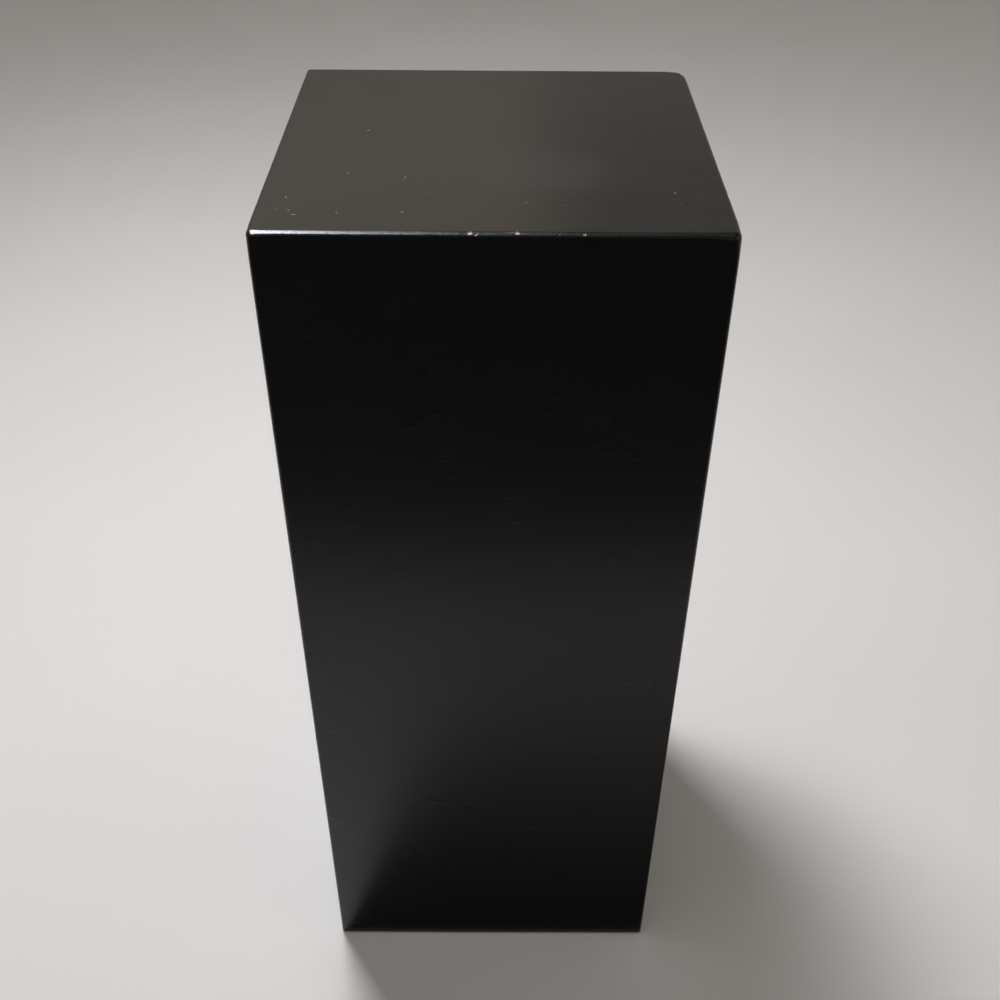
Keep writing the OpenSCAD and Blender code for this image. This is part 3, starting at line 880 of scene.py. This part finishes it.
def lock_nut_solid(corner, settings):
    """A lock nut: a hexagon whose corners are turned off at 30 degrees above and below, with a bore
    that has a lead-in at each end. Its rings form a closed loop round the wall."""
    low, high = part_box("lock_nuts")
    flats, corner_turn = spanner_size(corner)
    hexagon = hexagon_radius(angles(HEXAGON_POINTS) - corner_turn, flats)
    bore = settings.thread_diameter / 2 + 0.05 * MM
    lead_in = 0.6 * MM
    rings = []
    for height in np.linspace(low.z, high.z, 13):
        from_end = min(height - low.z, high.z - height)
        rings.append((np.minimum(hexagon, flats / 2 - 0.2 * MM + from_end * 1.7), height))
    rings += [
        (bore + lead_in, high.z),
        (bore, high.z - lead_in),
        (bore, low.z + lead_in),
        (bore + lead_in, low.z),
    ]
    return turned_solid(rings, HEXAGON_POINTS, foot_axis(corner), closed_loop=True)


def base_screw_solid(x, y, head_z, length):
    """A countersunk wood screw seen from below, with a cross recess.

    The head's underside sits at head_z + depth, where depth is the recess: full where the distance
    from either arm's middle line is under half the arm's width, fading out towards the arm's end. The
    cone, the threaded shank and the point are radii against height.
    """
    head, shank = 4 * MM, 2 * MM
    pitch = 1.8 * MM
    half_arm, arm_end, recess_depth = 0.75 * MM, 2.7 * MM, 1.6 * MM
    angle = angles(SCREW_POINTS)
    across = np.linspace(0.12, 1, 12)[:, None] * head
    from_arm = np.minimum(np.abs(across * np.cos(angle)), np.abs(across * np.sin(angle)))
    arm = np.clip((half_arm - from_arm) / (0.25 * MM), 0, 1)
    fade = np.clip((arm_end - across) / (1.4 * MM), 0, 1)
    rings = list(zip(across, head_z + recess_depth * arm * fade))
    shank_low, shank_high = head_z + head - shank, head_z + length - 4 * MM
    rings.append((shank * 0.8, shank_low))
    height = np.arange(shank_low + 0.3 * MM, shank_high, pitch / 4)[:, None]
    phase = (height / pitch - angle / (2 * np.pi)) % 1.0
    ridge = np.clip(1 - np.abs(2 * phase - 1) * 2.4, 0, 1)
    rings.extend(zip(shank * (0.74 + 0.26 * ridge), height))
    rings.append((0.4 * MM, head_z + length))
    return turned_solid(rings, SCREW_POINTS, np.array([x, y, 0.0]))


def turned_piece(name, solids, material, body, nodes):
    """One object from one or more turned solids, riding on a body in place of its CAD nodes."""
    points, faces = joined(solids)
    piece = new_piece(name, points, faces, [material])
    smooth_between_creases(piece, math.radians(32))
    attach(piece, body)
    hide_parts(*nodes)
    return piece


def finish_nodes(names, material):
    """Gives CAD nodes their finish."""
    for name in names:
        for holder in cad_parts[name].material_slots:
            holder.material = material


# Stage


# Width of the camera's sensor in millimetres
SENSOR_WIDTH = 36.0


def aimed(place, target):
    """A matrix that stands at a place and looks at a target, with its top towards +Z."""
    away = Vector(target) - Vector(place)
    turn = away.to_track_quat("-Z", "Y").to_matrix().to_4x4()
    return Matrix.Translation(Vector(place)) @ turn


def soft_light(name, place, target, size, radiance, colour):
    """A rectangular lamp that the camera doesn't see. Power is pi times area times radiance, so the
    radiance is what a mirror would show."""
    lamp = bpy.data.lights.new(name, "AREA")
    lamp.shape = "RECTANGLE"
    lamp.size, lamp.size_y = size
    lamp.energy = math.pi * size[0] * size[1] * radiance
    lamp.color = srgb(colour)
    holder = bpy.data.objects.new(name, lamp)
    holder.matrix_world = aimed(place, target)
    holder.visible_camera = False
    bpy.context.scene.collection.objects.link(holder)
    return holder


def flat_sheet(name, low, high, level, material, lean=0.0):
    """A level sheet, from one corner to the other. A lean moves its far side sideways by lean times its
    depth."""
    x, y = np.meshgrid((low[0], high[0]), (low[1], high[1]))
    x = x + lean * (y - low[1])
    points = np.stack([x, y, np.full(x.shape, level)], axis=-1).reshape(-1, 3)
    sheet = new_piece(name, points, grid_faces(2, 2).tolist(), [material])
    return sheet


def painted_floor(settings):
    """Pale matt floor paint: nearly even, with faint clouds of wear and no gloss."""
    material, tree, shader, place = new_material("pale_matt_floor_paint")
    clouds = add(tree, "TexNoise", {"Vector": place, "Scale": 1.3, "Detail": 4.0})
    grit = add(tree, "TexNoise", {"Vector": place, "Scale": 400.0, "Detail": 2.0})
    wear = {"Value": clouds, "From Min": 0.3, "From Max": 0.7, "To Min": 0.06, "To Max": 0.0}
    shade = add(tree, "MapRange", wear)
    colour = add(tree, "Mix", {0: shade, 6: settings.floor_colour, 7: srgb("#8f8f92")}, data_type="RGBA")
    relief = add(tree, "Bump", {"Strength": 0.3, "Distance": 0.05 * MM, "Height": grit})
    feed(
        tree, shader, {"Base Color": colour, "Roughness": 0.9, "Specular IOR Level": 0.0, "Normal": relief}
    )
    return material


def painted_reflection_shade(name, reach=0.0, settings=None):
    """A material for sheets that only the gloss sees, which paints black into reflections. With a reach, it
    paints a shadow into the reflections instead: dark grey at the column's front, fading to the floor's
    colour over that distance in front of it."""
    material, tree, shader, place = new_material(name)
    # Painted dark reflection: the sheet shows black only in the lacquer's gloss
    colour = srgb("#000000")
    if reach:
        # Painted shadow seen in reflections: dark grey at the front's foot, fading to the floor's colour in
        # front
        ahead = add(tree, "SeparateXYZ", {0: place}).outputs["Y"]
        span = {"Value": ahead, "From Min": FRONT, "From Max": FRONT - reach}
        fade = add(tree, "MapRange", span, interpolation_type="SMOOTHSTEP")
        colour = add(tree, "Mix", {0: fade, 6: srgb("#2c2c2c"), 7: settings.floor_colour}, data_type="RGBA")
    feed(tree, shader, {"Base Color": colour, "Roughness": 1.0})
    return material


def hang_painted_reflection_sheets(settings):
    """Dark sheets that only the gloss sees, which paint dark reflections into the lacquer: one over the
    floor in front, one under the ceiling, and one that paints a deeper shadow at the front's foot into the
    reflections and leans as the shadow's edge does."""
    # Painted reflections: black for the front and overhead sheets, a painted contact shadow for the sheet
    # at the front's foot
    black = painted_reflection_shade("painted_black_reflection")
    fading = painted_reflection_shade("painted_contact_shadow_reflection", 0.45, settings)
    # Name, near left corner, far right corner, height, lean and painted-reflection material
    for name, low, high, level, lean, cloth in (
        ("painted_dark_reflection_front", (-4.0, -9.0), (4.0, -0.96), 2 * MM, 0.0, black),
        ("painted_dark_reflection_overhead", (-0.5, -9.0), (3.0, 1.4), 2.95, 0.0, black),
        ("painted_contact_shadow_sheet", (-0.07, -0.65), (0.8, -0.205), 1 * MM, -0.27, fading),
    ):
        flag = flat_sheet(name, low, high, level, cloth, lean)
        flag.visible_camera = False
        flag.visible_diffuse = False
        flag.visible_shadow = False
        flag.visible_transmission = False


def light_room(scene, settings):
    """Soft daylight all round, and four lamps. The key lights the floor and casts the shadow, and isn't
    seen in the gloss; the ceiling strip is seen only there."""
    world = bpy.data.worlds.new("soft_daylight")
    world.use_nodes = True
    world.node_tree.nodes.clear()
    daylight = {"Color": srgb("#dfd9ce"), "Strength": settings.daylight}
    sky = add(world.node_tree, "Background", daylight)
    add(world.node_tree, "OutputWorld", {"Surface": sky})
    scene.world = world
    soft_light("rear_reflector", (-0.75, 1.6, 2.4), (-0.1, 0.0, 1.0), (2.2, 1.5), 0.36, "#ffe6cf")
    key = soft_light("key", (-0.5, 0.75, 3.0), (0.0, 0.0, 0.3), (0.6, 0.8), 46.0, "#ffffff")
    key.visible_glossy = False
    strip = soft_light("ceiling_strip", (-0.8, -0.8, 3.0), (-0.8, -0.8, 0.0), (0.4, 3.2), 75.0, "#f4f8ff")
    strip.visible_diffuse = False
    soft_light("side_fill", (3.2, -1.5, 2.4), (0.0, 0.0, 0.4), (1.6, 1.6), 1.0, "#fff8ee")


def set_up_camera(scene, settings):
    """The camera looks ahead, turned left by the swing and down by the tilt, and is then rolled about
    its line of sight."""
    tilt, swing, roll = settings.tilt, settings.swing, settings.roll
    right = Vector((math.cos(swing), math.sin(swing), 0.0))
    level_ahead = Vector((-math.sin(swing), math.cos(swing), 0.0))
    ahead = math.cos(tilt) * level_ahead - Vector((0.0, 0.0, math.sin(tilt)))
    over = right.cross(ahead)
    rolled_right = math.cos(roll) * right + math.sin(roll) * over
    rolled_up = -math.sin(roll) * right + math.cos(roll) * over
    turn = Matrix((rolled_right, rolled_up, -ahead)).transposed()
    camera = bpy.data.cameras.new("camera")
    camera.lens = settings.lens
    camera.sensor_width = SENSOR_WIDTH
    camera.shift_y = settings.shift
    holder = bpy.data.objects.new("camera", camera)
    holder.matrix_world = Matrix.Translation(settings.place) @ turn.to_4x4()
    scene.collection.objects.link(holder)
    scene.camera = holder


# Operators


class PLINTH_OT_shell(bpy.types.Operator):
    """Builds the five lacquered panels of the shell"""

    bl_idname = "plinth.shell"
    bl_label = "Shell panels"

    def execute(self, context):
        settings = context.scene.plinth_shell
        materials = [satin_lacquer(settings), raw_fibreboard(settings, overspray=True)]
        for side in SIDES:
            wall_panel(side, settings, materials)
        top_panel(settings, materials)
        return {"FINISHED"}


class PLINTH_OT_feet(bpy.types.Operator):
    """Builds the stem, the pad and the sole of each levelling foot"""

    bl_idname = "plinth.feet"
    bl_label = "Levelling feet"

    def execute(self, context):
        settings = context.scene.plinth_foot
        steel, nylon, rubber = zinc_plated_steel(settings), moulded_nylon(), moulded_rubber()
        for corner in CORNERS:
            for node, name, solid, material, slot in (
                ("stem", "threaded_stem", stem_solid(corner, settings), steel, "zinc_steel"),
                ("pad", "nylon_pad", pad_solid(corner, settings), nylon, "nylon"),
                ("sole", "rubber_sole", sole_solid(corner), rubber, "rubber"),
            ):
                replaced = [f"foot_{node}_{corner}"]
                turned_piece(f"{name}_{corner}", [solid], material, f"foot_{corner}", replaced)
        return {"FINISHED"}


class PLINTH_OT_fixings(bpy.types.Operator):
    """Builds the lock nuts and the base screws, and plates the fixings inside"""

    bl_idname = "plinth.fixings"
    bl_label = "Nuts and screws"

    def execute(self, context):
        settings = context.scene.plinth_foot
        steel = bpy.data.materials["bright_zinc_plate"]
        nuts = [lock_nut_solid(corner, settings) for corner in CORNERS]
        turned_piece("hexagon_lock_nuts", nuts, steel, "plinth", ["lock_nuts"])
        low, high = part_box("base_panel_screws")
        rail_low, rail_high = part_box("base_rail_front")
        near = (RIGHT - LEFT) / 8
        far = -(rail_low.y + rail_high.y) / 2
        length = high.z - low.z
        screws = [
            base_screw_solid(x, y, low.z, length)
            for a in (-near, near)
            for b in (-far, far)
            for x, y in ((a, b), (b, a))
        ]
        turned_piece(
            "cross_recess_base_screws", screws, steel, "plinth", ["base_panel_screws"]
        )
        hidden = (
            "batten_screws", "rail_screws", "top_screws", "cleat_screws", "mid_panel_screws", "tee_nuts"
        )
        finish_nodes(hidden, steel)
        return {"FINISHED"}


class PLINTH_OT_inner_frame(bpy.types.Operator):
    """Finishes the battens, rails, cleats and biscuits inside the shell"""

    bl_idname = "plinth.inner_frame"
    bl_label = "Inner frame"

    def execute(self, context):
        upright = planed_pine("planed_pine_upright", 2)
        crosswise = planed_pine("planed_pine_crosswise", 0)
        lengthwise = planed_pine("planed_pine_lengthwise", 1)
        finish_nodes([f"batten_{corner}" for corner in CORNERS], upright)
        for kind in ("top_rail", "cleat", "base_rail"):
            finish_nodes([f"{kind}_front", f"{kind}_back"], crosswise)
            finish_nodes([f"{kind}_right", f"{kind}_left"], lengthwise)
        finish_nodes(["upright_biscuits", "top_biscuits"], pressed_beech())
        return {"FINISHED"}


class PLINTH_OT_boards(bpy.types.Operator):
    """Finishes the mid panel and the base panel"""

    bl_idname = "plinth.boards"
    bl_label = "Mid and base panels"

    def execute(self, context):
        finish_nodes(["mid_panel"], raw_fibreboard(context.scene.plinth_shell, overspray=False))
        finish_nodes(["base_panel"], birch_plywood())
        return {"FINISHED"}


class PLINTH_OT_stage(bpy.types.Operator):
    """Lays the floor, hangs the lights and sets up the camera"""

    bl_idname = "plinth.stage"
    bl_label = "Stage"

    def execute(self, context):
        scene = context.scene
        settings = scene.plinth_stage
        flat_sheet("floor", (-40.0, -40.0), (40.0, 40.0), 0.0, painted_floor(settings))
        hang_painted_reflection_sheets(settings)
        light_room(scene, settings)
        set_up_camera(scene, settings)
        scene.view_settings.view_transform = "Standard"
        return {"FINISHED"}


class PLINTH_PT_pieces(bpy.types.Panel):
    """Lists the plinth's pieces and the stage"""

    bl_idname = "PLINTH_PT_pieces"
    bl_label = "Display plinth"
    bl_space_type = "VIEW_3D"
    bl_region_type = "UI"
    bl_category = "Plinth"

    def draw(self, context):
        for operator in OPERATORS:
            self.layout.operator(operator.bl_idname)
        for group in (context.scene.plinth_shell, context.scene.plinth_foot, context.scene.plinth_stage):
            box = self.layout.box()
            for name in group.bl_rna.properties.keys():
                if name not in ("rna_type", "name"):
                    box.prop(group, name)


OPERATORS = (
    PLINTH_OT_shell,
    PLINTH_OT_feet,
    PLINTH_OT_fixings,
    PLINTH_OT_inner_frame,
    PLINTH_OT_boards,
    PLINTH_OT_stage,
)
GROUPS = {
    "plinth_shell": PlinthShellSettings,
    "plinth_foot": PlinthFootSettings,
    "plinth_stage": PlinthStageSettings,
}


def register():
    """Registers the settings, the operators and the panel."""
    for name, group in GROUPS.items():
        bpy.utils.register_class(group)
        setattr(bpy.types.Scene, name, bpy.props.PointerProperty(type=group))
    for operator in OPERATORS:
        bpy.utils.register_class(operator)
    bpy.utils.register_class(PLINTH_PT_pieces)


def unregister():
    """Takes away what register added."""
    bpy.utils.unregister_class(PLINTH_PT_pieces)
    for operator in reversed(OPERATORS):
        bpy.utils.unregister_class(operator)
    for name, group in GROUPS.items():
        delattr(bpy.types.Scene, name)
        bpy.utils.unregister_class(group)


def main():
    """Makes every piece and the stage."""
    register()
    bpy.ops.plinth.shell()
    bpy.ops.plinth.feet()
    bpy.ops.plinth.fixings()
    bpy.ops.plinth.inner_frame()
    bpy.ops.plinth.boards()
    bpy.ops.plinth.stage()


if __name__ == "__main__":
    main()
